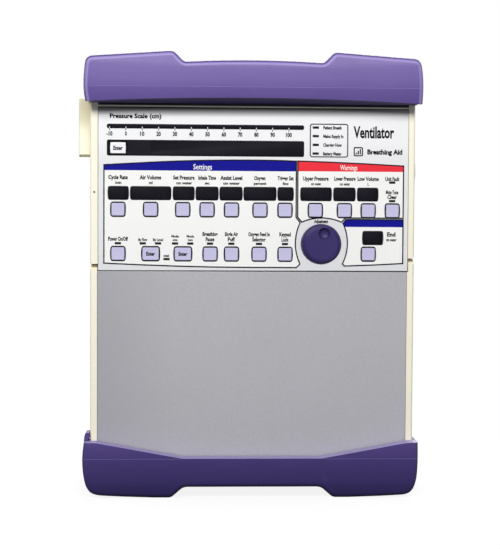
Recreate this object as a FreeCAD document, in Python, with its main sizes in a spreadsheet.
import FreeCAD, Part
import os
import math
import Sketcher

# Compact turbine-driven ventilator standing upright between two elastomer
# boots. Millimetres. +X to the viewer's right, +Z up, the front faces -Y.
# The origin is the centre of the rear mounting pattern, on the back plane.

V = FreeCAD.Vector
Rotation = FreeCAD.Rotation
doc = FreeCAD.newDocument("ventilator")

# ---- driving dimensions ---------------------------------------------------
# A depth is measured forwards from the back plane, so it lies at Y = -depth.

SIZES = dict(
    # case
    case_width=254.0, case_height=304.8, case_depth=76.0, case_wall=3.0,
    case_split_depth=66.0, assembly_gap=0.2,
    # overlay opening, frame rails and lower cover
    overlay_left=121.0, overlay_right=122.0, overlay_bottom=3.8, overlay_top=131.0,
    overlay_front_depth=75.2, overlay_thickness=2.0, overlay_ledge=4.0,
    rail_step_height=8.0, rail_step_gap=0.7, right_step_height=13.3,
    rail_ramp_drop=4.3, rail_ramp_depth=6.0, lower_cover_left=121.6,
    side_wall_rise=141.2, side_wall_half_rise=139.4,
    lower_cover_thickness=2.6, lower_cover_front_depth=75.4,
    # port bay on the right, oxygen well on the left
    port_bay_floor=112.0, port_bay_front=63.0, port_bay_back=17.0,
    port_bay_bottom=-16.0, port_bay_top=108.0,
    oxygen_well_depth_position=25.0, oxygen_well_height=40.0,
    oxygen_well_radius=20.0, oxygen_well_depth=14.0,
    # rear mounting
    rear_mount_spacing=100.0, insert_outer_radius=3.6, insert_bore_radius=2.5,
    insert_length=10.0, mount_boss_radius=7.0, mount_boss_length=12.0,
    # cooling fan
    fan_centre_across=72.0, fan_centre_height=-97.0, fan_frame_width=60.0,
    fan_frame_thickness=15.0, fan_bore_radius=28.0, grille_width=66.0, grille_thickness=1.6,
    # case screws
    case_screw_across=120.4, case_screw_radius=1.95, case_screw_hole_radius=2.1,
    case_screw_head_radius=3.6, case_screw_head_thickness=2.0,
    case_screw_boss_radius=4.4, case_screw_length=69.0,
    case_screw_height_upper_left=80.0, case_screw_height_lower_left=-122.0,
    case_screw_height_upper_right=119.0, case_screw_height_lower_right=-122.0,
    # openings in the sides and the back
    filter_opening_bottom=97.0, filter_opening_top=132.0,
    filter_opening_front=57.0, filter_opening_back=19.0,
    power_inlet_height=-6.0, power_inlet_depth_position=38.0,
    power_inlet_width=22.0, power_inlet_height_size=15.0,
    data_socket_height=-40.0, data_socket_spacing=20.0,
    data_socket_width=13.0, data_socket_height_size=12.0,
    sounder_height=-92.0, sounder_radius=11.0,
    outlet_height=84.0, outlet_depth_position=40.0,
    flow_sense_upper_height=52.0, flow_sense_lower_height=30.0, valve_drive_height=4.0,
    case_corner_radius=3.0, oxygen_inlet_seat_radius=5.2, outlet_seat_radius=9.6,
    sense_seat_radius=2.6, drive_seat_radius=3.4,
    vent_slot_left=-104.0, vent_slot_width=40.0, vent_slot_height=-112.0,
    vent_slot_pitch=6.0, vent_slot_opening=2.4,
    frame_edge_radius=1.6, lower_cover_edge_radius=0.5,
    # boots
    boot_half_width=130.7, boot_front_depth=88.0, boot_back_reach=6.0,
    boot_corner_height=168.7, boot_crest_height=173.3, boot_notch_height=165.7,
    boot_crest_position=66.0, boot_crest_inner=61.5, boot_notch_half_width=53.6,
    boot_side_edge=133.8, boot_clearance=0.2, boot_corner_radius=8.0,
    boot_crest_radius=2.5, boot_edge_radius=2.4, boot_foot_outer=76.0, top_boot_arch=3.5,
    boot_notch_front=64.0, boot_notch_back=12.0, boot_notch_top=139.6,
    bottom_boot_flat_half_width=54.2, bottom_boot_flat_height=-142.0,
    bottom_boot_slope_end=120.0, bottom_boot_slope_height=-129.8,
    bottom_boot_notch_height=164.6, bottom_boot_crest_inner=63.2,
    boot_tab_top=-120.8, boot_tab_front=78.6, boot_tab_back=58.0, boot_tab_inner=128.1,
    # keys
    key_side_bulge=0.45, key_half_height=5.15, key_half_width=5.3,
    wide_key_half_width=6.6, key_front_depth=75.9, key_flange_depth=73.0,
    key_back_depth=72.0, key_side_clearance=0.15, key_flange_width=0.5,
    upper_key_row_height=51.3, lower_key_row_height=16.8,
    menu_key_height=99.0, menu_key_half_width=6.3, menu_key_half_height=4.55,
    key_rim_radius=0.35,
    # windows, indicators and knob
    knob_across=53.0, knob_height=24.9, encoder_bush_radius=4.5,
    value_window_half_height=5.1, value_window_height=64.0,
    end_window_position=94.25, end_window_height=29.9,
    end_window_half_width=8.1, end_window_half_height=5.25,
    pressure_bar_left=113.7, pressure_bar_right=39.1,
    pressure_bar_height=115.9, pressure_bar_half_height=1.3,
    message_left=113.7, message_right=39.3, message_height=99.2, message_half_height=5.75,
    indicator_half_width=2.35, indicator_half_height=0.7, indicator_row_height=24.85,
    pane_front_depth=75.25, pane_thickness=1.5, pane_clearance=0.05,
    pressure_bar_end_radius=1.0,
    knob_radius=15.9, knob_length=11.0, knob_base_depth=75.6, knob_rim_radius=2.2,
    knob_dimple_sphere=9.0, knob_dimple_offset=8.6, knob_dimple_depth=1.15,
    encoder_shaft_radius=3.0, encoder_running_clearance=0.06,
    knob_bore_depth=9.0, encoder_shaft_length=13.2,
    # inside the case
    mat_front_depth=71.0, mat_thickness=1.4, control_board_front_depth=69.2,
    board_thickness=1.6, frame_plate_depth=33.0, frame_plate_thickness=1.5,
    main_board_depth=60.0, battery_edge_radius=4.0,
    blower_across=66.0, blower_height=-62.0, blower_radius=36.0,
    blower_front_depth=63.0, blower_back_depth=34.0,
    blower_axle_radius=2.5, blower_running_clearance=0.05,
    valve_left=64.0, valve_right=103.0, valve_radius=12.0, valve_stem_radius=2.0,
    blender_edge_radius=1.5,
    # filter cover, hoses and outside ports
    filter_cover_reach=137.4, filter_cover_front=60.0, filter_cover_back=16.0,
    filter_cover_bottom=92.3, filter_cover_top=138.9, filter_cover_radius=1.5,
    hose_outer_radius=6.4, hose_bore_radius=4.8,
    outlet_radius=11.0, outlet_length=20.0, outlet_bore_radius=8.5, outlet_tip_chamfer=1.0,
    small_port_length=14.0, sense_radius=2.5, drive_radius=3.3,
    oxygen_inlet_radius=7.1, oxygen_inlet_length=12.0, fan_axle_radius=1.5,
    end_key_height=17.2, boot_cell_width=26.0, boot_cell_depth=8.0,
)

# aliases of centre height, half width and half height, then the X of each key
KEY_GROUPS = [
    ("upper_key_row_height", "key_half_width", "key_half_height", dict(
        key_rate=-105.4, key_volume=-80.0, key_pressure=-55.0, key_insp_time=-36.0,
        key_support=-16.9, key_oxygen=5.4, key_trigger=25.0, key_high_limit=48.85,
        key_low_limit=71.7, key_low_volume=90.45, key_silence=109.5)),
    ("lower_key_row_height", "key_half_width", "key_half_height", dict(key_standby=-105.35)),
    ("lower_key_row_height", "wide_key_half_width", "key_half_height", dict(
        key_breath_type=-79.95, key_mode=-54.75)),
    ("lower_key_row_height", "key_half_width", "key_half_height", dict(
        key_hold=-33.5, key_manual=-16.75, key_source=4.8, key_lock=25.25)),
    ("end_key_height", "key_half_width", "key_half_height", dict(key_end_pressure=90.8)),
    ("menu_key_height", "menu_key_half_width", "menu_key_half_height", dict(
        key_menu=-105.4)),
]
UPPER_KEY_COUNT = 11

# windows of the upper row: name, X of centre, half width
WINDOWS = [
    ("rate", -105.2, 8.0), ("volume", -80.0, 15.85), ("pressure", -54.3, 8.35),
    ("time", -36.05, 8.8), ("support", -17.35, 8.85), ("oxygen", 5.3, 12.75),
    ("trigger", 25.4, 6.2), ("high_limit", 49.3, 12.2), ("low_limit", 71.65, 8.6),
    ("low_volume", 90.0, 8.25),
]

# indicators: name, X of centre, Z of centre (None for those in the common row)
INDICATORS = [
    ("standby", -105.4, None), ("volume", -86.1, None), ("pressure", -74.15, None),
    ("assist", -60.95, None), ("mandatory", -49.0, None), ("hold", -33.6, None),
    ("manual", -16.9, None), ("source", 4.75, None), ("lock", 25.15, None),
    ("mask", -67.55, 12.65), ("fault", 109.25, 73.5), ("silence", 109.3, 59.0),
    ("mains", 48.75, 116.1), ("charge", 48.75, 109.4), ("battery", 48.75, 102.6),
    ("effort", 48.75, 95.8),
]

for *group_aliases, members in KEY_GROUPS:
    for name, x in members.items():
        SIZES[name + "_position"] = x
for name, x, half_width in WINDOWS:
    SIZES[name + "_window_position"] = x
    SIZES[name + "_window_half_width"] = half_width
for name, x, z in INDICATORS:
    SIZES[name + "_indicator_position"] = x
    if z is not None:
        SIZES[name + "_indicator_height"] = z


class Size:
    """A length that keeps its sheet expression next to its value."""

    def __init__(self, text, value):
        self.text = text
        self.value = value

    def combined(self, sign, other, value):
        return Size("(%s %s %s)" % (self.text, sign, size(other).text), value)

    def __add__(self, other):
        return self.combined("+", other, self.value + size(other).value)

    def __sub__(self, other):
        return self.combined("-", other, self.value - size(other).value)

    def __mul__(self, other):
        return self.combined("*", other, self.value * size(other).value)

    def __truediv__(self, other):
        return self.combined("/", other, self.value / size(other).value)

    def __neg__(self):
        return Size("(-1 * %s)" % self.text, -self.value)


def size(value):
    if isinstance(value, Size):
        return value
    return Size("(%.6g)" % value, float(value))


class DimensionSet:
    """Holds each dimension of the sheet as a Size, under its alias."""


sheet = doc.addObject("Spreadsheet::Sheet", "Dimensions")
dim = DimensionSet()
for row, (alias, value) in enumerate(SIZES.items(), 1):
    sheet.set("A%d" % row, alias.replace("_", " "))
    sheet.set("B%d" % row, "%.6g" % value)
    sheet.setAlias("B%d" % row, alias)
    setattr(dim, alias, Size("Dimensions." + alias, float(value)))
doc.recompute()


# ---- solids and booleans --------------------------------------------------

# turns the Z axis of a primitive onto the named axis
AXIS_TURN = {
    "x": Rotation(V(0, 1, 0), 90),
    "y": Rotation(V(1, 0, 0), -90),
    "z": Rotation(),
}


def bind(obj, prop, value):
    obj.setExpression(prop, size(value).text)


def bind_all(obj, **values):
    for prop, value in values.items():
        bind(obj, prop, value)


def place(obj, x, y, z, turn=Rotation()):
    obj.Placement = FreeCAD.Placement(V(size(x).value, size(y).value, size(z).value), turn)
    bind(obj, "Placement.Base.x", x)
    bind(obj, "Placement.Base.y", y)
    bind(obj, "Placement.Base.z", z)


def around(centre, half):
    """The two ends of a span given by its centre and half length."""
    return size(centre) - half, size(centre) + half


def box(name, x0, x1, y0, y1, z0, z1):
    obj = doc.addObject("Part::Box", name)
    place(obj, x0, y0, z0)
    bind_all(obj, Length=size(x1) - x0, Width=size(y1) - y0, Height=size(z1) - z0)
    return obj


def rod(name, axis, x, y, z, radius, length):
    obj = doc.addObject("Part::Cylinder", name)
    place(obj, x, y, z, AXIS_TURN[axis])
    bind_all(obj, Radius=radius, Height=length)
    return obj


def cone(name, axis, x, y, z, start_radius, end_radius, length):
    obj = doc.addObject("Part::Cone", name)
    place(obj, x, y, z, AXIS_TURN[axis])
    bind_all(obj, Radius1=start_radius, Radius2=end_radius, Height=length)
    return obj


def blade(name, x, y, z, turn, corner, length, width):
    """A fan blade turned about the point (x, y, z); corner is its place before turning."""
    obj = doc.addObject("Part::Box", name)
    start = turn.multVec(corner)
    place(obj, x + start.x, y + start.y, z + start.z, turn)
    bind_all(obj, Length=length, Width=width, Height=1.2)
    return obj


def fuse(name, shapes):
    obj = doc.addObject("Part::MultiFuse", name)
    obj.Shapes = shapes
    return obj


def compound(name, links):
    obj = doc.addObject("Part::Compound", name)
    obj.Links = links
    return obj


def cut(name, base, *tools):
    obj = doc.addObject("Part::Cut", name)
    obj.Base = base
    obj.Tool = tools[0] if len(tools) == 1 else fuse(name + "_cutters", list(tools))
    return obj


def picked(base, pick):
    """Numbers, from 1, of the edges of base that pick accepts."""
    doc.recompute()
    return [i for i, edge in enumerate(base.Shape.Edges, 1) if pick(edge)]


def fillet(name, base, radius, pick):
    numbers = picked(base, pick)
    obj = doc.addObject("Part::Fillet", name)
    obj.Base = base
    obj.Edges = [(i, radius.value, radius.value) for i in numbers]
    return obj


def mid(edge):
    return edge.valueAt((edge.FirstParameter + edge.LastParameter) / 2.0)


def near(value, target, tolerance=0.02):
    return abs(value - size(target).value) < tolerance


def flat_at(edge, axis, target):
    """True when the whole edge lies in the plane axis = target."""
    span = edge.LastParameter - edge.FirstParameter
    points = [edge.valueAt(edge.FirstParameter + span * k / 4.0) for k in range(5)]
    return all(near(getattr(point, axis), target) for point in points)


# ---- sketches and bodies --------------------------------------------------


def constrain(sketch, joins, sizes):
    """Joins edge ends and binds the driving sizes.

    joins: (edge, end, edge, end); sizes: (kind, references, value)
    """
    start = sketch.ConstraintCount + len(joins)
    sketch.addConstraint(
        [Sketcher.Constraint("Coincident", *ends) for ends in joins]
        + [Sketcher.Constraint(kind, *refs, size(value).value) for kind, refs, value in sizes])
    for index, (kind, refs, value) in enumerate(sizes, start):
        name = "drive_%d" % index
        sketch.renameConstraint(index, name)
        bind(sketch, "Constraints." + name, value)


def at(edge, end, x, y):
    """Sizes that hold one point of an edge at (x, y) from the sketch origin."""
    return [("DistanceX", (-1, 1, edge, end), x), ("DistanceY", (-1, 1, edge, end), y)]


def add_line(sketch, start, end):
    """Adds a line between two (x, y) points and returns its number."""
    ends = [V(size(x).value, size(y).value, 0) for x, y in (start, end)]
    return sketch.addGeometry(Part.LineSegment(*ends), False)


def add_arc(sketch, x, y, radius, start, end):
    base = Part.Circle(V(x, y, 0), V(0, 0, 1), radius)
    return sketch.addGeometry(Part.ArcOfCircle(base, start, end), False)


def polygon(sketch, points):
    following = points[1:] + points[:1]
    edges = [add_line(sketch, a, b) for a, b in zip(points, following)]
    joins = [(a, 2, b, 1) for a, b in zip(edges, edges[1:] + edges[:1])]
    sizes = []
    for edge, (x, y) in zip(edges, points):
        sizes += at(edge, 1, x, y)
    constrain(sketch, joins, sizes)


def rectangle(sketch, x0, x1, y0, y1):
    polygon(sketch, [(x0, y0), (x1, y0), (x1, y1), (x0, y1)])


def barrel(sketch, x, y, half_width, half_height):
    """Straight top and bottom, sides bowed outward by the key bulge."""
    x, y, half_height = size(x), size(y), size(half_height)
    bulge = dim.key_side_bulge
    x0, x1 = around(x, size(half_width) - bulge)
    y0, y1 = around(y, half_height)
    radius = (half_height * half_height + bulge * bulge) / (bulge * 2)
    half = math.asin(half_height.value / radius.value)
    inset = math.sqrt(radius.value ** 2 - half_height.value ** 2)
    top = add_line(sketch, (x0, y1), (x1, y1))
    bottom = add_line(sketch, (x1, y0), (x0, y0))
    right = add_arc(sketch, x1.value - inset, y.value, radius.value, -half, half)
    left = add_arc(sketch, x0.value + inset, y.value, radius.value,
                   math.pi - half, math.pi + half)
    constrain(sketch,
              [(top, 2, right, 2), (right, 1, bottom, 1), (bottom, 2, left, 2), (left, 1, top, 1)],
              at(top, 1, x0, y1) + at(top, 2, x1, y1) + at(bottom, 1, x1, y0)
              + at(bottom, 2, x0, y0) + [("Radius", (right,), radius), ("Radius", (left,), radius)])


def circle(sketch, x, y, radius):
    x, y, radius = size(x), size(y), size(radius)
    shape = Part.Circle(V(x.value, y.value, 0), V(0, 0, 1), radius.value)
    edge = sketch.addGeometry(shape, False)
    constrain(sketch, [], at(edge, 3, x, y) + [("Radius", (edge,), radius)])


def new_body(name):
    return doc.addObject("PartDesign::Body", name)


def extrude(body, kind, name, outline, offset, length, shapes,
            plane="XZ_Plane", reverse=False):
    """Adds a Pad or Pocket of the shapes, each (drawing function, *sizes).

    On XZ_Plane the offset is a depth: a Pad grows forwards and a Pocket
    cuts backwards from it, unless reversed.
    """
    sketch = body.newObject("Sketcher::SketchObject", outline)
    support = [f for f in body.Origin.OriginFeatures if f.Role == plane][0]
    sketch.AttachmentSupport = [(support, "")]
    sketch.MapMode = "FlatFace"
    sketch.AttachmentOffset = FreeCAD.Placement(V(0, 0, size(offset).value), Rotation())
    bind(sketch, "AttachmentOffset.Base.z", offset)
    for draw, *sizes in shapes:
        draw(sketch, *sizes)
    feature = body.newObject("PartDesign::" + kind, name)
    feature.Profile = sketch
    bind(feature, "Length", length)
    feature.Reversed = reverse
    return feature


def body_fillet(body, name, base, radius, pick):
    names = ["Edge%d" % i for i in picked(base, pick)]
    feature = body.newObject("PartDesign::Fillet", name)
    feature.Base = (base, names)
    bind(feature, "Radius", radius)
    return feature


def free_sketch(name, turn, axis, offset):
    """A sketch outside any body, turned and moved along one axis."""
    sketch = doc.addObject("Sketcher::SketchObject", name)
    base = V(0, 0, 0)
    setattr(base, axis, offset.value)
    sketch.Placement = FreeCAD.Placement(base, turn)
    bind(sketch, "Placement.Base." + axis, offset)
    return sketch


def front_sketch(name, y):
    """A sketch with X and Z axes whose normal points to the front."""
    return free_sketch(name, Rotation(V(1, 0, 0), 90), "y", y)


def extrusion(name, sketch, length):
    obj = doc.addObject("Part::Extrusion", name)
    obj.Base = sketch
    obj.DirMode = "Normal"
    bind(obj, "LengthFwd", length)
    obj.Solid = True
    return obj


def prism_x(name, points, x0, x1):
    """A solid whose outline is drawn in (y, z) and which runs from x0 to x1."""
    sketch = free_sketch(name + "_profile", Rotation(V(1, 1, 1), 120), "x", x0)
    polygon(sketch, points)
    return extrusion(name, sketch, x1 - x0)


parts = []


def part(obj, label=None):
    """Labels a finished piece and lists it for export."""
    obj.Label = label or obj.Name
    parts.append(obj)


# ---- places shared by several pieces --------------------------------------

case_x = dim.case_width / 2
case_z = dim.case_height / 2
front_y = -dim.case_depth
joint_y = -dim.case_split_depth
wall = dim.case_wall
gap = dim.assembly_gap

overlay_x0 = -dim.overlay_left
overlay_x1 = dim.overlay_right
overlay_z0 = dim.overlay_bottom
overlay_z1 = dim.overlay_top
overlay_back = dim.overlay_thickness - dim.overlay_front_depth

bay_x = dim.port_bay_floor
port_y = -dim.outlet_depth_position
outlet_z = dim.outlet_height
# ports in the bay: name, height, radius of the seat in the bay floor
BAY_PORTS = [
    ("outlet", outlet_z, dim.outlet_seat_radius),
    ("sense_hi", dim.flow_sense_upper_height, dim.sense_seat_radius),
    ("sense_lo", dim.flow_sense_lower_height, dim.sense_seat_radius),
    ("drive", dim.valve_drive_height, dim.drive_seat_radius),
]
well_y = -dim.oxygen_well_depth_position
well_z = dim.oxygen_well_height
socket_y = -dim.power_inlet_depth_position
data_heights = [dim.data_socket_height, dim.data_socket_height - dim.data_socket_spacing]
filter_y0 = -dim.filter_opening_front
filter_y1 = -dim.filter_opening_back
filter_z0 = dim.filter_opening_bottom
filter_z1 = dim.filter_opening_top
fan_x = dim.fan_centre_across
fan_z = dim.fan_centre_height
fan_bore = dim.fan_bore_radius

# (x, z) of the mounting inserts and of the case screws
mount_spots = [(dim.rear_mount_spacing / 2 * x_side, dim.rear_mount_spacing / 2 * z_side)
               for x_side, z_side in ((-1, -1), (1, -1), (-1, 1), (1, 1))]
screw_spots = [
    (-dim.case_screw_across, dim.case_screw_height_upper_left),
    (-dim.case_screw_across, dim.case_screw_height_lower_left),
    (dim.case_screw_across, dim.case_screw_height_upper_right),
    (dim.case_screw_across, dim.case_screw_height_lower_right),
]

# ---- rear shell -----------------------------------------------------------

well_length = dim.oxygen_well_depth
shell_block = box("shell_outer", -case_x, case_x, joint_y, 0, -case_z, case_z)
shell_round = fillet("shell_round", shell_block, dim.case_corner_radius,
                     lambda e: (near(abs(mid(e).x), case_x) and near(abs(mid(e).z), case_z))
                     or flat_at(e, "y", 0))
shell_room = box("shell_room", *around(0, case_x - wall), joint_y - 1, -wall,
                 *around(0, case_z - wall))
shell_parts = [
    cut("shell_hollow", shell_round, shell_room),
    box("bay_block", bay_x - wall, case_x - 1,
        -dim.port_bay_front - wall, -dim.port_bay_back + wall,
        dim.port_bay_bottom - wall, dim.port_bay_top + wall),
    rod("well_block", "x", -case_x + 1, well_y, well_z,
        dim.oxygen_well_radius + wall, well_length + wall - 1),
]
for i, (x, z) in enumerate(mount_spots):
    shell_parts.append(rod("mount_boss_%d" % i, "y", x, -dim.mount_boss_length, z,
                           dim.mount_boss_radius, dim.mount_boss_length - 1))
for i, (x, z) in enumerate(screw_spots):
    shell_parts.append(rod("screw_boss_%d" % i, "y", x, joint_y, z,
                           dim.case_screw_boss_radius, -joint_y - 1))


def left_opening(name, z, width, height):
    """A rectangular cutter through the left wall, on the line of the sockets."""
    return box(name, -case_x - 5, -case_x + wall + 5,
               *around(socket_y, width / 2), *around(z, height / 2))


shell_tools = [
    box("bay_recess", bay_x, case_x + 5, -dim.port_bay_front, -dim.port_bay_back,
        dim.port_bay_bottom, dim.port_bay_top),
    rod("well_recess", "x", -case_x - 5, well_y, well_z,
        dim.oxygen_well_radius, well_length + 5),
    rod("well_hole", "x", -case_x - 5, well_y, well_z, dim.oxygen_inlet_seat_radius, 30),
    box("filter_opening", -case_x - 5, -case_x + wall + 5,
        filter_y0, filter_y1, filter_z0, filter_z1),
    left_opening("power_opening", dim.power_inlet_height,
                 dim.power_inlet_width, dim.power_inlet_height_size),
]
for letter, z in zip("ab", data_heights):
    shell_tools.append(left_opening("data_opening_" + letter, z,
                                    dim.data_socket_width, dim.data_socket_height_size))
shell_tools.append(rod("sounder_opening", "x", -case_x - 5, socket_y, dim.sounder_height,
                       dim.sounder_radius, 15))
for name, z, seat_radius in BAY_PORTS:
    shell_tools.append(rod(name + "_opening", "x", bay_x - wall - 5, port_y, z,
                           seat_radius, 15))
grille_half = dim.grille_width / 2
shell_tools += [
    rod("fan_opening", "y", fan_x, -wall - 3, fan_z, fan_bore, wall + 5),
    box("grille_recess", *around(fan_x, grille_half + gap), -dim.grille_thickness, 5,
        *around(fan_z, grille_half + gap)),
]
for i, (x, z) in enumerate(mount_spots):
    shell_tools.append(rod("insert_seat_%d" % i, "y", x, -dim.insert_length, z,
                           dim.insert_outer_radius, dim.insert_length + 5))
head_length = dim.case_screw_head_thickness
for i, (x, z) in enumerate(screw_spots):
    shell_tools += [
        rod("screw_hole_%d" % i, "y", x, joint_y - 2, z,
            dim.case_screw_hole_radius, -joint_y + 5),
        rod("screw_sink_%d" % i, "y", x, -head_length, z,
            dim.case_screw_head_radius + 0.2, head_length + 5),
    ]
# slots through the back for cooling air, left of the fan
for i in range(6):
    slot_z = dim.vent_slot_height + dim.vent_slot_pitch * i
    shell_tools.append(box("vent_slot_%d" % i, dim.vent_slot_left,
                           dim.vent_slot_left + dim.vent_slot_width, -wall - 2, 5,
                           slot_z, slot_z + dim.vent_slot_opening))
part(cut("rear_shell", fuse("shell_full", shell_parts), *shell_tools))

# ---- front frames ---------------------------------------------------------

frame_back = joint_y - gap
rail_z = dim.rail_step_height
rail_gap = dim.rail_step_gap
right_z = dim.right_step_height
cover_x0 = -dim.lower_cover_left
cover_x1 = dim.overlay_left


def front_plate(name, z0, z1, end_z):
    """A front plate with its side corners rounded at the front and at end_z."""
    plate = box(name + "_plate", -case_x, case_x, front_y, frame_back, z0, z1)
    return fillet(name + "_round", plate, dim.frame_edge_radius,
                  lambda e: near(abs(mid(e).x), case_x)
                  and (near(mid(e).y, front_y) or near(mid(e).z, end_z)))


def through_frame(name, x0, x1, z0, z1):
    """A cutter right through a front frame."""
    return box(name, x0, x1, front_y - 2, frame_back + 2, z0, z1)


def frame_screw_holes(name, spots):
    return [rod("%s_screw_hole_%d" % (name, i), "y", screw_spots[i][0], joint_y - 6,
                screw_spots[i][1], dim.case_screw_hole_radius, 8) for i in spots]


upper_round = front_plate("upper", rail_z + rail_gap, case_z, case_z)
upper_tongue = box("upper_tongue", overlay_x0 - 0.3, overlay_x1 + 0.3, overlay_back, frame_back,
                   overlay_z0 - 0.2, rail_z + rail_gap + 1)
ledge = dim.overlay_ledge
part(cut("upper_front_frame", fuse("upper_frame_body", [upper_round, upper_tongue]),
         through_frame("upper_opening", overlay_x0 + ledge, overlay_x1 - ledge,
                       overlay_z0 + 2, overlay_z1 - 3),
         box("upper_recess", overlay_x0 - 0.1, overlay_x1 + 0.1, front_y - 2, overlay_back,
             overlay_z0 - 6, overlay_z1 + 0.1),
         through_frame("upper_right_step", overlay_x1 + 0.1, case_x + 2,
                       overlay_z0 - 2, right_z + rail_gap),
         *frame_screw_holes("upper", (0, 2))))

lower_round = front_plate("lower", -case_z, right_z, -case_z)
lower_cut = cut(
    "lower_cut", lower_round,
    through_frame("lower_cap_clear", overlay_x0 - 0.5, overlay_x1 + 0.5,
                  overlay_z0 - 0.4, right_z + 5),
    through_frame("lower_left_step", -case_x - 2, overlay_x0, rail_z, right_z + 5),
    box("lower_recess", cover_x0, cover_x1 + 0.6, front_y - 2,
        dim.lower_cover_thickness - dim.lower_cover_front_depth,
        -case_z + 6, overlay_z0 + 5),
    through_frame("lower_opening", overlay_x0 + 6, cover_x1 - 6, -case_z + 12, overlay_z0 - 6),
    *frame_screw_holes("lower", (1, 3)))


def ramp(name, x0, x1, top):
    """A cutter that slopes the top of a rail down towards the front."""
    drop, run = dim.rail_ramp_drop, dim.rail_ramp_depth
    return prism_x(name, [(front_y - 1, top - drop - drop / run), (front_y + run, top),
                          (front_y + run, top + 1), (front_y - 1, top + 1)], x0, x1)


part(cut("lower_front_frame", lower_cut,
         ramp("rail_ramp_left", -case_x - 2, cover_x0 + 0.1, rail_z),
         ramp("rail_ramp_right", overlay_x1, case_x + 2, right_z)))

cover = new_body("lower_cover_body")
cover_pad = extrude(cover, "Pad", "lower_cover_pad", "lower_cover_outline",
                    dim.lower_cover_front_depth - dim.lower_cover_thickness,
                    dim.lower_cover_thickness,
                    [(rectangle, cover_x0 + 0.15, cover_x1 + 0.45,
                      -case_z + 6.2, overlay_z0 - 0.7)])
body_fillet(cover, "lower_cover_edge", cover_pad, dim.lower_cover_edge_radius,
            lambda e: flat_at(e, "y", -dim.lower_cover_front_depth))
part(cover, "lower_front_cover")

# ---- boots ----------------------------------------------------------------

boot_x = dim.boot_half_width
boot_front = -dim.boot_front_depth
boot_back = dim.boot_back_reach
boot_lip = dim.boot_side_edge
seat_gap = dim.boot_clearance
seat_x = case_x + seat_gap
edge_radius = dim.boot_edge_radius
CELL_COUNT = 7
CELL_WEB = 6
CELL_END_MARGIN = 8


def boot(name, side, crest_outer, crest_inner, notch_z):
    """A boot body; side is 1 for the top boot and -1 for the bottom one."""
    body = new_body(name)
    crest_z = dim.boot_crest_height * side
    corner_z = dim.boot_corner_height * side
    notch_x = dim.boot_notch_half_width
    lip_z = boot_lip * side
    right_half = [(notch_x, notch_z * side), (crest_inner, crest_z), (crest_outer, crest_z),
                  (boot_x, corner_z), (boot_x, lip_z)]
    outline = [(-x, z) for x, z in reversed(right_half)] + right_half
    block = extrude(body, "Pad", name + "_pad", name + "_outline", -boot_back,
                    boot_back - boot_front, [(polygon, outline)])
    corners = body_fillet(body, name + "_corners", block, dim.boot_corner_radius,
                          lambda e: near(abs(mid(e).x), boot_x) and near(mid(e).z, corner_z))
    crests = body_fillet(body, name + "_crests", corners, dim.boot_crest_radius,
                         lambda e: (near(abs(mid(e).x), crest_inner)
                                    or near(abs(mid(e).x), notch_x))
                         and near(mid(e).y, (boot_front + boot_back) / 2, 1))
    body_fillet(body, name + "_edges", crests, edge_radius,
                lambda e: (flat_at(e, "y", boot_front) or flat_at(e, "y", boot_back))
                and not flat_at(e, "z", lip_z))
    # seat for the case
    seat_z = (case_z + seat_gap) * side
    extrude(body, "Pocket", name + "_seat_pocket", name + "_seat", dim.case_depth + seat_gap,
            dim.case_depth + seat_gap * 2,
            [(rectangle, -seat_x, seat_x, lip_z - 5 * side, seat_z)])
    # lightening pockets between the case and the outer skin
    cell = dim.boot_cell_width
    middle = CELL_COUNT // 2
    cells = [(rectangle, *around((cell + CELL_WEB) * (k - middle), cell / 2),
              front_y + CELL_END_MARGIN, -CELL_END_MARGIN) for k in range(CELL_COUNT)]
    extrude(body, "Pocket", name + "_cell_pockets", name + "_cells", seat_z,
            dim.boot_cell_depth, cells, plane="XY_Plane", reverse=side > 0)
    return body


top_body = boot("top_boot_body", 1, dim.boot_crest_position, dim.boot_crest_inner,
                dim.boot_notch_height)

# the lower edge of the front wall is a shallow arch that climbs towards the front
ARCH_REACH = 14.0
ARCH_SLOPE = 3.5 / 11.8
arch_floor = size(120)
sag = dim.top_boot_arch
span = boot_x + 1
arch_radius = (span * span + sag * sag) / (sag * 2)
arch_end = boot_lip - sag
half = math.asin(span.value / arch_radius.value)
arch = front_sketch("arch_profile", front_y)
curve = add_arc(arch, 0, boot_lip.value - arch_radius.value, arch_radius.value,
                math.pi / 2 - half, math.pi / 2 + half)
left = add_line(arch, (-span, arch_end), (-span, arch_floor))
base = add_line(arch, (-span, arch_floor), (span, arch_floor))
right = add_line(arch, (span, arch_floor), (span, arch_end))
constrain(arch,
          [(curve, 2, left, 1), (left, 2, base, 1), (base, 2, right, 1), (right, 2, curve, 1)],
          at(left, 1, -span, arch_end) + at(left, 2, -span, arch_floor)
          + at(right, 1, span, arch_floor) + at(right, 2, span, arch_end)
          + [("Radius", (curve,), arch_radius)])
arch_tool = doc.addObject("Part::Extrusion", "arch_tool")
arch_tool.Base = arch
arch_tool.DirMode = "Custom"
arch_tool.Dir = V(0, -ARCH_REACH, ARCH_REACH * ARCH_SLOPE)
arch_tool.LengthFwd = ARCH_REACH * math.sqrt(1 + ARCH_SLOPE ** 2)
arch_tool.Solid = True

# (y, z) of the cut under each side wall, whose lower edge rises towards the back
SIDE_RISE = [
    (front_y - 8, boot_lip - 0.1), (-52, dim.side_wall_half_rise), (-30, dim.side_wall_rise),
    (-8, dim.side_wall_rise), (0, boot_lip - 0.1),
]
part(cut("top_boot", top_body, arch_tool,
         prism_x("side_rise_left", SIDE_RISE, -boot_x - 2, -seat_x + 0.02),
         prism_x("side_rise_right", SIDE_RISE, seat_x - 0.02, boot_x + 2),
         # room for the filter cover under the left side wall
         box("filter_notch", -boot_x - 2, -seat_x + 0.01, -dim.boot_notch_front,
             -dim.boot_notch_back, boot_lip - 6, dim.boot_notch_top)))

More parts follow.
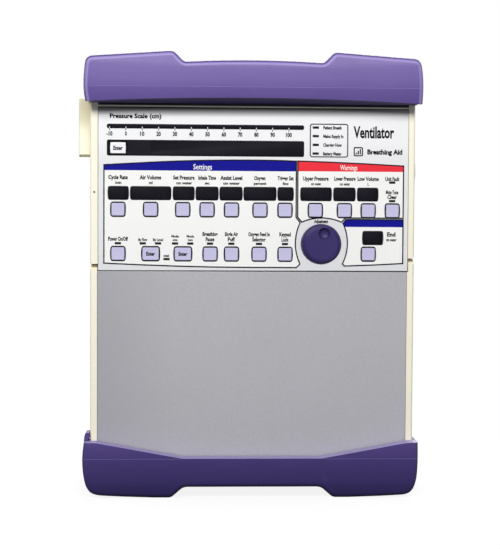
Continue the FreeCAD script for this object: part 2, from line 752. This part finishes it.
bottom_body = boot("bottom_boot_body", -1, dim.boot_foot_outer, dim.bottom_boot_crest_inner,
                   dim.bottom_boot_notch_height)
# the top edge of the front wall dips to a flat in the middle
flat_x = dim.bottom_boot_flat_half_width
flat_z = dim.bottom_boot_flat_height
slope_x = dim.bottom_boot_slope_end
slope_z = dim.bottom_boot_slope_height
lip_sketch = front_sketch("bottom_lip_profile", front_y - 0.1)
polygon(lip_sketch, [(-boot_x - 1, slope_z + 12), (-boot_x - 1, slope_z), (-slope_x, slope_z),
                     (-flat_x, flat_z), (flat_x, flat_z), (slope_x, slope_z),
                     (boot_x + 1, slope_z), (boot_x + 1, slope_z + 12)])
lip_tool = extrusion("bottom_lip_tool", lip_sketch, 14)

# the body stops at the side edge, so its walls are carried on up to the lip
wall_z0 = -boot_lip - 0.5
wall_y0, wall_y1 = boot_front + edge_radius, boot_back - edge_radius
bottom_walls = [
    box("bottom_side_left", -boot_x, -seat_x, wall_y0, wall_y1, wall_z0, slope_z),
    box("bottom_side_right", seat_x, boot_x, wall_y0, wall_y1, wall_z0, slope_z),
]
for place_name, y0, y1, outer_y in (("front", boot_front, front_y - seat_gap, boot_front),
                                    ("back", seat_gap, boot_back, boot_back)):
    rise = box("bottom_%s_rise" % place_name, -boot_x, boot_x, y0, y1, wall_z0, slope_z)
    bottom_walls.append(fillet("bottom_%s_round" % place_name, rise, edge_radius,
                               lambda e: near(abs(mid(e).x), boot_x)
                               and near(mid(e).y, outer_y)))
bottom_full = fuse("bottom_boot_full", [bottom_body] + bottom_walls)
# a short tab stands up from the left side wall, just behind the front wall
tab_front = -dim.boot_tab_front
tab = fillet("bottom_boot_tab_round",
             box("bottom_boot_tab", -boot_x, -dim.boot_tab_inner, tab_front,
                 -dim.boot_tab_back, slope_z - 3, dim.boot_tab_top),
             size(0.9),
             lambda e: near(mid(e).z, dim.boot_tab_top)
             or (near(abs(mid(e).x), boot_x) and near(mid(e).y, tab_front)))
part(fuse("bottom_boot", [cut("bottom_boot_lipped", bottom_full, lip_tool), tab]))

# ---- keys -----------------------------------------------------------------

key_holes = []
for *group_aliases, members in KEY_GROUPS:
    z, half_width, half_height = [getattr(dim, alias) for alias in group_aliases]
    for name in members:
        x = getattr(dim, name + "_position")
        play = dim.key_side_clearance
        key_holes.append((barrel, x, z, half_width + play, half_height + play))
        key = new_body(name + "_body")
        place(key, x, 0, z)
        extrude(key, "Pad", name + "_flange", name + "_flange_outline", dim.key_back_depth,
                dim.key_flange_depth - dim.key_back_depth,
                [(rectangle, *around(0, half_width + dim.key_flange_width),
                  *around(0, half_height + dim.key_flange_width))])
        cap = extrude(key, "Pad", name + "_cap", name + "_cap_outline", dim.key_flange_depth,
                      dim.key_front_depth - dim.key_flange_depth,
                      [(barrel, 0, 0, half_width, half_height)])
        body_fillet(key, name + "_rim", cap, dim.key_rim_radius,
                    lambda e: flat_at(e, "y", -dim.key_front_depth))
        part(key, name)
menu_hole = key_holes.pop()

# ---- control overlay ------------------------------------------------------

knob_x = dim.knob_across
knob_z = dim.knob_height
bush_radius = dim.encoder_bush_radius
bar_x0, bar_x1 = -dim.pressure_bar_left, dim.pressure_bar_right
bar_z = dim.pressure_bar_height
bar_half = dim.pressure_bar_half_height
message_x0, message_x1 = -dim.message_left, dim.message_right
message_z = dim.message_height
message_half = dim.message_half_height

# value windows: X and Z of centre, half width, half height
windows = [(getattr(dim, name + "_window_position"), dim.value_window_height,
            getattr(dim, name + "_window_half_width"), dim.value_window_half_height)
           for name, x, half_width in WINDOWS]
windows.append((dim.end_window_position, dim.end_window_height,
                dim.end_window_half_width, dim.end_window_half_height))
indicators = [(getattr(dim, name + "_indicator_position"),
               dim.indicator_row_height if z is None
               else getattr(dim, name + "_indicator_height"))
              for name, x, z in INDICATORS]

overlay = new_body("control_overlay_body")
extrude(overlay, "Pad", "overlay_plate", "overlay_outline", -overlay_back,
        dim.overlay_thickness,
        [(rectangle, overlay_x0, overlay_x1, overlay_z0, overlay_z1),
         (circle, knob_x, knob_z, bush_radius + 0.1)])
for name, shapes in (
        ("upper_key_holes", key_holes[:UPPER_KEY_COUNT]),
        ("lower_key_holes", key_holes[UPPER_KEY_COUNT:]),
        ("value_window_holes", [(barrel, *window) for window in windows]),
        ("long_window_holes",
         [(rectangle, bar_x0, bar_x1, *around(bar_z, bar_half)),
          (rectangle, message_x0, message_x1, *around(message_z, message_half))]),
        ("indicator_holes",
         [(rectangle, *around(x, dim.indicator_half_width),
           *around(z, dim.indicator_half_height)) for x, z in indicators])):
    extrude(overlay, "Pocket", name, name + "_outline", dim.overlay_front_depth,
            dim.overlay_thickness, shapes)
part(overlay, "control_overlay")

# ---- window panes and indicator lights ------------------------------------

pane_front = -dim.pane_front_depth
pane_depth = dim.pane_thickness
pane_back = pane_front + pane_depth
pane_gap = dim.pane_clearance
panes = []
for i, (x, z, half_width, half_height) in enumerate(windows):
    pane = new_body("value_pane_%d" % i)
    extrude(pane, "Pad", "value_pane_pad_%d" % i, "value_pane_outline_%d" % i,
            -pane_back, pane_depth,
            [(barrel, x, z, half_width - pane_gap, half_height - pane_gap)])
    panes.append(pane)
part(compound("display_windows", panes))

bar = box("pressure_bar_pane", bar_x0 + pane_gap, bar_x1 - pane_gap, pane_front, pane_back,
          *around(bar_z, bar_half - pane_gap))
part(fillet("pressure_window", bar, dim.pressure_bar_end_radius,
            lambda e: near(mid(e).y, (pane_front + pane_back) / 2, 0.01)))

message = new_body("message_window_body")
extrude(message, "Pad", "message_pad", "message_outline", -pane_back, pane_depth,
        [(rectangle, message_x0 + pane_gap, message_x1 - pane_gap,
          *around(message_z, message_half - pane_gap))])
extrude(message, "Pocket", "menu_hole", "menu_hole_outline", dim.pane_front_depth, pane_depth,
        [menu_hole])
part(message, "message_window")

part(compound("indicator_lights", [
    box("indicator_%d" % i, *around(x, dim.indicator_half_width - pane_gap),
        pane_front - 0.1, pane_back, *around(z, dim.indicator_half_height - pane_gap))
    for i, (x, z) in enumerate(indicators)]))

# ---- set-value knob and its encoder ---------------------------------------

knob_back = -dim.knob_base_depth
knob_front = knob_back - dim.knob_length
shaft_radius = dim.encoder_shaft_radius
knob = new_body("knob_core")
place(knob, knob_x, 0, knob_z)
knob_pad = extrude(knob, "Pad", "knob_pad", "knob_circle", dim.knob_base_depth,
                   dim.knob_length, [(circle, 0, 0, dim.knob_radius)])
body_fillet(knob, "knob_rim", knob_pad, dim.knob_rim_radius,
            lambda e: flat_at(e, "y", knob_front))
extrude(knob, "Pocket", "knob_bore", "knob_bore_outline", dim.knob_base_depth - 1,
        dim.knob_bore_depth, [(circle, 0, 0, shaft_radius + 0.02)], reverse=True)
# finger dimple above the centre of the knob's front face
ball = doc.addObject("Part::Sphere", "knob_dimple_ball")
place(ball, knob_x + 1.9, knob_front - dim.knob_dimple_sphere + dim.knob_dimple_depth,
      knob_z + dim.knob_dimple_offset - 0.3)
bind(ball, "Radius", dim.knob_dimple_sphere)
part(cut("set_knob", knob, ball))

part(rod("encoder_shaft", "y", knob_x, knob_back - 7.8, knob_z, shaft_radius,
         dim.encoder_shaft_length))
encoder_outer = fuse("encoder_outer", [
    rod("encoder_bush", "y", knob_x, knob_back + 0.3, knob_z, bush_radius, 4),
    box("encoder_case", *around(knob_x, 6.5), overlay_back + 0.2, -dim.key_back_depth + 2.6,
        *around(knob_z, 6.5))])
part(cut("encoder_body", encoder_outer,
         rod("encoder_bore", "y", knob_x, -90, knob_z,
             shaft_radius + dim.encoder_running_clearance,
             size(90) - dim.key_back_depth + 1.9)))

# ---- keypad mat, display modules and control board ------------------------

mat_y = -dim.mat_front_depth
mat_back = mat_y + dim.mat_thickness
board_y = -dim.control_board_front_depth
board_depth = dim.board_thickness


def mat_cut(name, x0, x1, z0, z1):
    return box("mat_cut_%s" % name, x0, x1, mat_y - 1, mat_back + 1, z0, z1)


mat = box("mat_plate", overlay_x0 + 6, overlay_x1 - 6, mat_y, mat_back,
          overlay_z0 + 4, overlay_z1 - 6)
mat_tools = [mat_cut(i, *around(x, half_width + 1), *around(z, half_height + 0.8))
             for i, (x, z, half_width, half_height) in enumerate(windows)]
mat_tools += [
    mat_cut("message", message_x0 - 3, message_x1 + 3, message_z - message_half - 2,
            bar_z + bar_half + 2),
    mat_cut("encoder", *around(knob_x, 8), *around(knob_z, 8)),
]
part(cut("keypad_mat", mat, *mat_tools))


def module(name, x0, x1, z0, z1):
    """A display block between the overlay and the control board."""
    return box(name, x0, x1, overlay_back + 0.3, board_y, z0, z1)


modules = [module("digit_module_%d" % i, *around(x, half_width - 0.5),
                  *around(z, half_height - 0.3))
           for i, (x, z, half_width, half_height) in enumerate(windows)]
modules += [
    module("bar_module", bar_x0 + 1, bar_x1 - 1, *around(bar_z, 2.4)),
    module("message_module", message_x0 + 17, message_x1 - 1,
           *around(message_z, message_half - 0.3)),
]
part(compound("display_modules", modules))


def components(board_front, rows):
    """Blocks on a board: name, X range, Z range, height (negative: on the front face)."""
    blocks = []
    for name, x0, x1, z0, z1, height in rows:
        if height < 0:
            y0, y1 = board_front + height, board_front
        else:
            y0, y1 = board_front + board_depth, board_front + board_depth + height
        blocks.append(box(name, x0, x1, y0, y1, z0, z1))
    return blocks


board = box("control_board_plate", overlay_x0 + 5, overlay_x1 - 5, board_y,
            board_y + board_depth, overlay_z0 + 3, overlay_z1 - 5)
board_chips = components(board_y, [
    ("control_chip_a", -60, -36, 80, 104, 2.2),
    ("control_chip_b", -10, 14, 84, 100, 2.2),
    ("control_chip_c", 60, 76, 40, 50, 2.2),
    ("control_header", -20, 30, 112, 118, 2.4),
])
part(cut("control_board", fuse("control_board_parts", [board] + board_chips),
         rod("board_tail_hole", "y", knob_x, board_y - 2, knob_z, 4, 6)))

# ---- internal frame, main board and battery -------------------------------

# sheet frame that carries the boards, the battery and the blower
tray_y = -dim.frame_plate_depth
tray_back = tray_y + dim.frame_plate_thickness
# name, X range, Y range, Z range
tray_parts = [box(*row) for row in (
    ("tray_lower", -104, 104, tray_y, tray_back, -146, 18),
    ("tray_upper", -104, 58, tray_y, tray_back, 17, 146),
    ("tray_flange_left", -104, -102.5, tray_y, tray_y + 14, -146, 14),
    ("tray_flange_bottom", -104, 40, tray_y, tray_y + 14, -146, -144.5),
    ("tray_flange_top", -104, 58, tray_y - 20, tray_back, 144.5, 146),
)]
part(cut("internal_frame", fuse("tray_parts", tray_parts),
         rod("tray_window_a", "y", 66, tray_y - 2, -62, 12, 6),
         rod("tray_window_b", "y", -30, tray_y - 2, 100, 12, 6)))

main_y = -dim.main_board_depth
main_back = main_y + board_depth
main_parts = [box("main_board_plate", -100, 56, main_y, main_back, -12, 132)]
for i, (x, z) in enumerate(((-95, -7), (50, -7), (-95, 127), (50, 127))):
    main_parts.append(rod("standoff_%d" % i, "y", x, main_back, z, 2.6, tray_y - main_back))
main_parts += components(main_y, [
    ("processor", -60, -28, 40, 72, -3),
    ("memory_a", -20, -6, 46, 68, -2),
    ("memory_b", 0, 14, 46, 68, -2),
    ("power_stage", -92, -70, 90, 120, -5),
    ("coil", 20, 38, 20, 38, 14),
    ("board_header", -20, 30, 112, 118, -5),
])
main_parts += [rod("capacitor_" + letter, "y", x, main_back, 20, 6, 18)
               for letter, x in (("a", -80), ("b", -64))]
part(fuse("main_board", main_parts))

battery_front, battery_back = size(-62), tray_y - gap
battery = box("battery_case", -100, 12, battery_front, battery_back, -142, -24)
part(fillet("battery_pack", battery, dim.battery_edge_radius,
            lambda e: near(mid(e).y, (battery_front + battery_back) / 2, 0.2)))

# ---- blower: housing, motor and bladed wheel ------------------------------

blower_x = dim.blower_across
blower_z = dim.blower_height
blower_front = -dim.blower_front_depth
blower_back = -dim.blower_back_depth
axle_radius = dim.blower_axle_radius
# upright air duct from the blower to the flow valve
DUCT_X, DUCT_Y = 89, -44
DUCT_RADIUS, DUCT_BORE = 8.5, 6.5


def blower_rod(name, y, radius, length):
    return rod(name, "y", blower_x, y, blower_z, radius, length)


blower_outer = fuse("blower_outer", [
    blower_rod("blower_case", blower_back - 18, dim.blower_radius, 18),
    blower_rod("blower_motor_case", blower_front, 20, blower_back - blower_front - 17),
    blower_rod("blower_eye_spigot", blower_back - 1, 8.5, 5.2),
    rod("blower_duct_outer", "z", DUCT_X, DUCT_Y, blower_z, DUCT_RADIUS, 40)])
blower_inner = fuse("blower_inner", [
    blower_rod("blower_chamber", blower_back - 16, dim.blower_radius - 2.5, 14),
    blower_rod("blower_eye", blower_back - 4, 6.5, 12),
    blower_rod("blower_axle_bore", blower_front + 2,
               axle_radius + dim.blower_running_clearance, 30),
    rod("blower_duct_inner", "z", DUCT_X, DUCT_Y, blower_z, DUCT_BORE, 50)])
part(cut("turbine_housing", blower_outer, blower_inner))

wheel = [
    blower_rod("wheel_disc", blower_back - 14.4, 29, 2.4),
    blower_rod("wheel_hub", blower_back - 13, 6.0, 7),
    blower_rod("wheel_axle", blower_front + 3, axle_radius, 16),
]
for k in range(12):
    wheel.append(blade("wheel_blade_%d" % k, blower_x, blower_back - 12.4, blower_z,
                       Rotation(V(0, 1, 0), 30.0 * k), V(5.5, 0, -0.6), 22, 7.5))
part(fuse("turbine_rotor", wheel))

# ---- inspiratory flow valve, in line with the outlet ----------------------

valve_x = dim.valve_left
valve_radius = dim.valve_radius
stem_radius = dim.valve_stem_radius


def valve_rod(name, offset, radius, length):
    return rod(name, "x", valve_x + offset, port_y, outlet_z, radius, length)


valve_outer = fuse("valve_outer", [
    valve_rod("valve_case", 0, valve_radius, dim.valve_right - valve_x),
    rod("valve_inlet_outer", "z", DUCT_X, DUCT_Y, outlet_z - 26, DUCT_RADIUS, 18)])
valve_inner = fuse("valve_inner", [
    valve_rod("valve_chamber", 12, valve_radius - 2.5, 20),
    valve_rod("valve_mouth", 30, 7.0, 20),
    valve_rod("valve_stem_bore", 2, stem_radius + 0.05, 15),
    rod("valve_inlet_inner", "z", DUCT_X, DUCT_Y, outlet_z - 30, DUCT_BORE, 30)])
part(cut("flow_valve_body", valve_outer, valve_inner))
part(fuse("flow_valve_poppet", [
    valve_rod("valve_stem", 4, stem_radius, 17),
    valve_rod("valve_disc", 20.5, 8.0, 3.0),
    cone("valve_nose", "x", valve_x + 23.5, port_y, outlet_z, 6.0, 3.0, 2.0)]))

# ---- oxygen blender, intake silencer and filter ---------------------------

blender = fuse("blender_parts", [
    box("blender_block", -98, -62, -30, -6, 16, 64),
    rod("blender_solenoid_a", "x", -62.5, -20, 28, 7, 18),
    rod("blender_solenoid_b", "x", -62.5, -20, 46, 7, 18)])
part(fillet("oxygen_blender", blender, dim.blender_edge_radius,
            lambda e: near(mid(e).x, -98) and (near(mid(e).y, -30) or near(mid(e).y, -6))))

silencer = cut("silencer_shell", box("silencer_outer", -58, 34, -30, -5, 74, 140),
               box("silencer_inner", -55.5, 31.5, -27.5, -7.5, 76.5, 137.5))
part(cut("intake_silencer", silencer,
         rod("silencer_in", "x", -60, -24.5, 114, 4.1, 6),
         rod("silencer_out", "x", 30, -18, 92, 4.8, 6)))

part(box("air_filter", -case_x + wall + 0.2, -case_x + wall + 12,
         filter_y0 + 1, filter_y1 - 1, filter_z0 + 1, filter_z1 - 1))

# slotted cover that plugs into the filter opening
filter_cover_x = -dim.filter_cover_reach
filter_cover_y0 = -dim.filter_cover_front
filter_cover_y1 = -dim.filter_cover_back
filter_cover_z0 = dim.filter_cover_bottom
filter_cover_z1 = dim.filter_cover_top
cover_length = -filter_cover_x - case_x - 1.4
filter_core = new_body("filter_cover_core")
core_pad = extrude(filter_core, "Pad", "filter_cover_pad", "filter_cover_outline",
                   filter_cover_x, cover_length,
                   [(rectangle, filter_cover_y0, filter_cover_y1,
                     filter_cover_z0, filter_cover_z1)], plane="YZ_Plane")
body_fillet(filter_core, "filter_cover_edges", core_pad, dim.filter_cover_radius,
            lambda e: flat_at(e, "x", filter_cover_x)
            or near(mid(e).x, filter_cover_x + cover_length / 2, 0.2))
neck = box("filter_cover_neck", -case_x - 2, -case_x - 0.2,
           filter_cover_y0 + 3, filter_cover_y1 - 3, filter_cover_z0 + 3, filter_cover_z1 - 8)
plug = box("filter_cover_plug", -case_x - 1, -case_x + wall - 0.2,
           filter_y0 + 0.3, filter_y1 - 0.3, filter_z0 + 0.3, filter_z1 - 0.3)
cover_slots = [box("filter_slot_%d" % i, filter_cover_x - 1, -case_x + wall + 1,
                   -52 + 6.0 * i, -50 + 6.0 * i, filter_z0 + 5, filter_z1 - 5)
               for i in range(5)]
part(cut("filter_cover", fuse("filter_cover_parts", [filter_core, neck, plug]), *cover_slots))

# ---- air hoses ------------------------------------------------------------


def bent_hose(points, radius, bore):
    """A hose along runs that meet at right angles, with a round bend at each."""
    bend = 9.0
    edges = []
    start = points[0]
    for before, corner, after in zip(points, points[1:], points[2:]):
        enter = corner + (before - corner).normalize() * bend
        leave = corner + (after - corner).normalize() * bend
        middle = corner + ((enter - corner) + (leave - corner)) * (1 - math.sqrt(0.5))
        edges.append(Part.LineSegment(start, enter).toShape())
        edges.append(Part.Arc(enter, middle, leave).toShape())
        start = leave
    edges.append(Part.LineSegment(start, points[-1]).toShape())
    spine = Part.Wire(edges)
    direction = (points[1] - points[0]).normalize()
    outer, inner = [
        spine.makePipeShell([Part.Wire([Part.Circle(points[0], direction, r).toShape()])],
                            True, False)
        for r in (radius.value, bore.value)]
    return outer.cut(inner)


def tube(radius, bore, length, start, direction):
    return Part.makeCylinder(radius, length, start, direction).cut(
        Part.makeCylinder(bore, length, start, direction))


hoses = doc.addObject("Part::Feature", "air_hoses")
hoses.Shape = Part.makeCompound([
    # silencer to blower
    bent_hose([V(34.3, -18, 92), V(66, -18, 92), V(66, -18, -62), V(66, -29.6, -62)],
              dim.hose_outer_radius, dim.hose_bore_radius),
    # blower to flow valve
    tube(DUCT_RADIUS, DUCT_BORE, 79.7, V(DUCT_X, DUCT_Y, -21.9), V(0, 0, 1)),
    # filter to silencer
    tube(5.5, 4.1, 53.2, V(-111.6, -24.5, 114), V(1, 0, 0)),
])
part(hoses)

# ---- ports in the bay and oxygen inlet ------------------------------------

bay_face = bay_x + 0.05
tip = dim.outlet_tip_chamfer
straight = dim.outlet_length - tip
outlet = fuse("outlet_outer", [
    rod("outlet_flange", "x", bay_face, port_y, outlet_z, 15.0, 2.0),
    rod("outlet_spigot", "x", bay_face, port_y, outlet_z, dim.outlet_radius, straight),
    cone("outlet_tip", "x", bay_face + straight, port_y, outlet_z,
         dim.outlet_radius, dim.outlet_radius - tip, tip),
    rod("outlet_tail", "x", bay_x - wall - 4.5, port_y, outlet_z,
        dim.outlet_seat_radius - 0.1, wall + 5)])
part(cut("outlet_port", outlet,
         rod("outlet_bore", "x", bay_x - 10, port_y, outlet_z, dim.outlet_bore_radius, 40)))

# spigot radius and bore radius of the small ports, in the order of BAY_PORTS
SMALL_PORT_RADII = [(dim.sense_radius, 1.4), (dim.sense_radius, 1.4), (dim.drive_radius, 2.0)]
small_ports = []
for (name, z, seat_radius), (radius, bore) in zip(BAY_PORTS[1:], SMALL_PORT_RADII):
    solid = fuse(name + "_outer", [
        rod(name + "_flange", "x", bay_face, port_y, z, radius + 3.0, 2.0),
        rod(name + "_spigot", "x", bay_face, port_y, z, radius, dim.small_port_length),
        rod(name + "_tail", "x", bay_x - wall - 4, port_y, z, seat_radius - 0.1, wall + 5)])
    small_ports.append(cut(name + "_port", solid,
                           rod(name + "_bore", "x", bay_x - 10, port_y, z, bore, 40)))
part(compound("sensor_ports", small_ports))

well_floor = -case_x + well_length
flange_x = well_floor - 0.05 - 2
oxygen = fuse("oxygen_outer", [
    rod("oxygen_spigot", "x", flange_x - dim.oxygen_inlet_length, well_y, well_z,
        dim.oxygen_inlet_radius, dim.oxygen_inlet_length + 1),
    rod("oxygen_flange", "x", flange_x, well_y, well_z, 10.0, 2.0),
    rod("oxygen_tail", "x", well_floor - 1, well_y, well_z,
        dim.oxygen_inlet_seat_radius - 0.1, 15.8)])
part(cut("oxygen_inlet", oxygen, rod("oxygen_bore", "x", -case_x - 2, well_y, well_z, 3.2, 45)))

# ---- sockets and sounder in the left wall ---------------------------------

power_z = dim.power_inlet_height
power_half_y = dim.power_inlet_width / 2
power_half_z = dim.power_inlet_height_size / 2
power_shell = cut("power_shell",
                  box("power_block", -case_x - 0.6, -case_x + 16,
                      *around(socket_y, power_half_y - 0.1), *around(power_z, power_half_z - 0.1)),
                  box("power_cavity", -case_x - 2, -case_x + 12,
                      *around(socket_y, power_half_y - 2.4), *around(power_z, power_half_z - 2.4)))
pins = [rod("power_pin_%d" % i, "x", -case_x + 4, socket_y + 5.0 * (i - 1), power_z, 0.9, 9)
        for i in range(3)]
part(fuse("power_inlet", [power_shell] + pins))

data_half_y = dim.data_socket_width / 2
data_half_z = dim.data_socket_height_size / 2
jacks = []
for i, z in enumerate(data_heights):
    jacks.append(cut("data_jack_%d" % i,
                     box("data_block_%d" % i, -case_x - 0.4, -case_x + 14,
                         *around(socket_y, data_half_y - 0.1), *around(z, data_half_z - 0.1)),
                     box("data_cavity_%d" % i, -case_x - 2, -case_x + 11,
                         *around(socket_y, data_half_y - 1.6),
                         z - data_half_z + 1.6, z + data_half_z - 3.2)))
part(compound("data_sockets", jacks))

sounder_z = dim.sounder_height
# name and (y, z) offset of each sound hole: a ring of six and one in the middle
sound_holes = [(str(i), 5.0 * math.cos(i * math.pi / 3), 5.0 * math.sin(i * math.pi / 3))
               for i in range(6)] + [("mid", 0, 0)]
part(cut("alarm_sounder",
         rod("sounder_case", "x", -case_x - 0.3, socket_y, sounder_z,
             dim.sounder_radius - 0.1, 12),
         *[rod("sounder_hole_" + name, "x", -case_x - 2, socket_y + y, sounder_z + z, 0.9, 8)
           for name, y, z in sound_holes]))

# ---- cooling fan and its grille in the back wall --------------------------

fan_back = -wall - 0.3
fan_front = fan_back - dim.fan_frame_thickness
fan_half = dim.fan_frame_width / 2


def fan_rod(name, y, radius, length):
    return rod(name, "y", fan_x, y, fan_z, radius, length)


def fan_box(name, half_x, y0, y1, half_z):
    return box(name, *around(fan_x, half_x), y0, y1, *around(fan_z, half_z))


arm_back = fan_front + 1.6
fan_ring = cut("fan_ring", fan_box("fan_block", fan_half, fan_front, fan_back, fan_half),
               fan_rod("fan_throat", fan_front - 1, fan_bore, dim.fan_frame_thickness + 2))
fan_frame = fuse("fan_frame_parts", [
    fan_ring,
    fan_rod("fan_stator", fan_front, 11, 3),
    fan_box("fan_arm_a", fan_half - 1, fan_front, arm_back, 1.2),
    fan_box("fan_arm_b", 1.2, fan_front, arm_back, fan_half - 1)])
part(cut("fan_frame", fan_frame,
         fan_rod("fan_axle_bore", fan_front - 1, dim.fan_axle_radius + 0.05, 6)))

fan_rotor = [fan_rod("fan_hub", fan_front + 3.6, 11, 10),
             fan_rod("fan_axle", fan_front + 0.5, dim.fan_axle_radius, 6)]
for k in range(7):
    turn = Rotation(V(0, 1, 0), 360.0 * k / 7).multiply(Rotation(V(1, 0, 0), 32))
    fan_rotor.append(blade("fan_blade_%d" % k, fan_x, fan_front + 9.2, fan_z, turn,
                           V(9.5, -6.5, -0.6), 16.5, 9.5))
part(fuse("fan_rotor", fan_rotor))

grille_depth = dim.grille_thickness
grille = [
    cut("grille_base", fan_box("grille_plate", grille_half, -grille_depth, -0.1, grille_half),
        fan_rod("grille_open", -grille_depth - 1, fan_bore - 1, grille_depth + 3)),
    fan_box("grille_bar_a", fan_bore, -grille_depth, -0.3, 1),
    fan_box("grille_bar_b", 1, -grille_depth, -0.3, fan_bore),
]
for i, radius in enumerate((5.0, 10.5, 16.0, 21.5)):
    grille.append(cut("grille_ring_%d" % i,
                      fan_rod("grille_ring_out_%d" % i, -grille_depth, radius + 0.8,
                              grille_depth - 0.3),
                      fan_rod("grille_ring_in_%d" % i, -grille_depth - 1, radius - 0.8,
                              grille_depth + 3)))
part(fuse("fan_grille", grille))

# ---- case screws and mounting inserts -------------------------------------

screws = []
for i, (x, z) in enumerate(screw_spots):
    screw = fuse("screw_%d" % i, [
        rod("screw_shank_%d" % i, "y", x, -dim.case_screw_length - 1.5, z,
            dim.case_screw_radius, dim.case_screw_length),
        rod("screw_head_%d" % i, "y", x, -head_length + 0.05, z,
            dim.case_screw_head_radius, head_length - 0.25)])
    screws.append(cut("screw_cut_%d" % i, screw,
                      box("screw_slot_%d" % i, *around(x, 2.4), -1.2, 2, *around(z, 0.5))))
part(compound("case_screws", screws))

inserts = []
for i, (x, z) in enumerate(mount_spots):
    inserts.append(cut("insert_%d" % i,
                       rod("insert_outer_%d" % i, "y", x, -dim.insert_length + 0.05, z,
                           dim.insert_outer_radius - 0.05, dim.insert_length - 0.05),
                       rod("insert_bore_%d" % i, "y", x, -dim.insert_length + 1, z,
                           dim.insert_bore_radius, dim.insert_length + 2)))
part(compound("mount_inserts", inserts))

# ---- checks and export ----------------------------------------------------

doc.recompute()
bad = [obj.Name for obj in doc.Objects if "Invalid" in obj.State or "Error" in obj.State]
for obj in parts:
    if obj.Shape.isNull() or not obj.Shape.isValid() or obj.Shape.Volume <= 0:
        bad.append(obj.Label + " shape")
if bad:
    raise RuntimeError("not clean: " + ", ".join(bad))
os.makedirs("parts", exist_ok=True)
for obj in parts:
    obj.Shape.exportStep("parts/%s.step" % obj.Label)
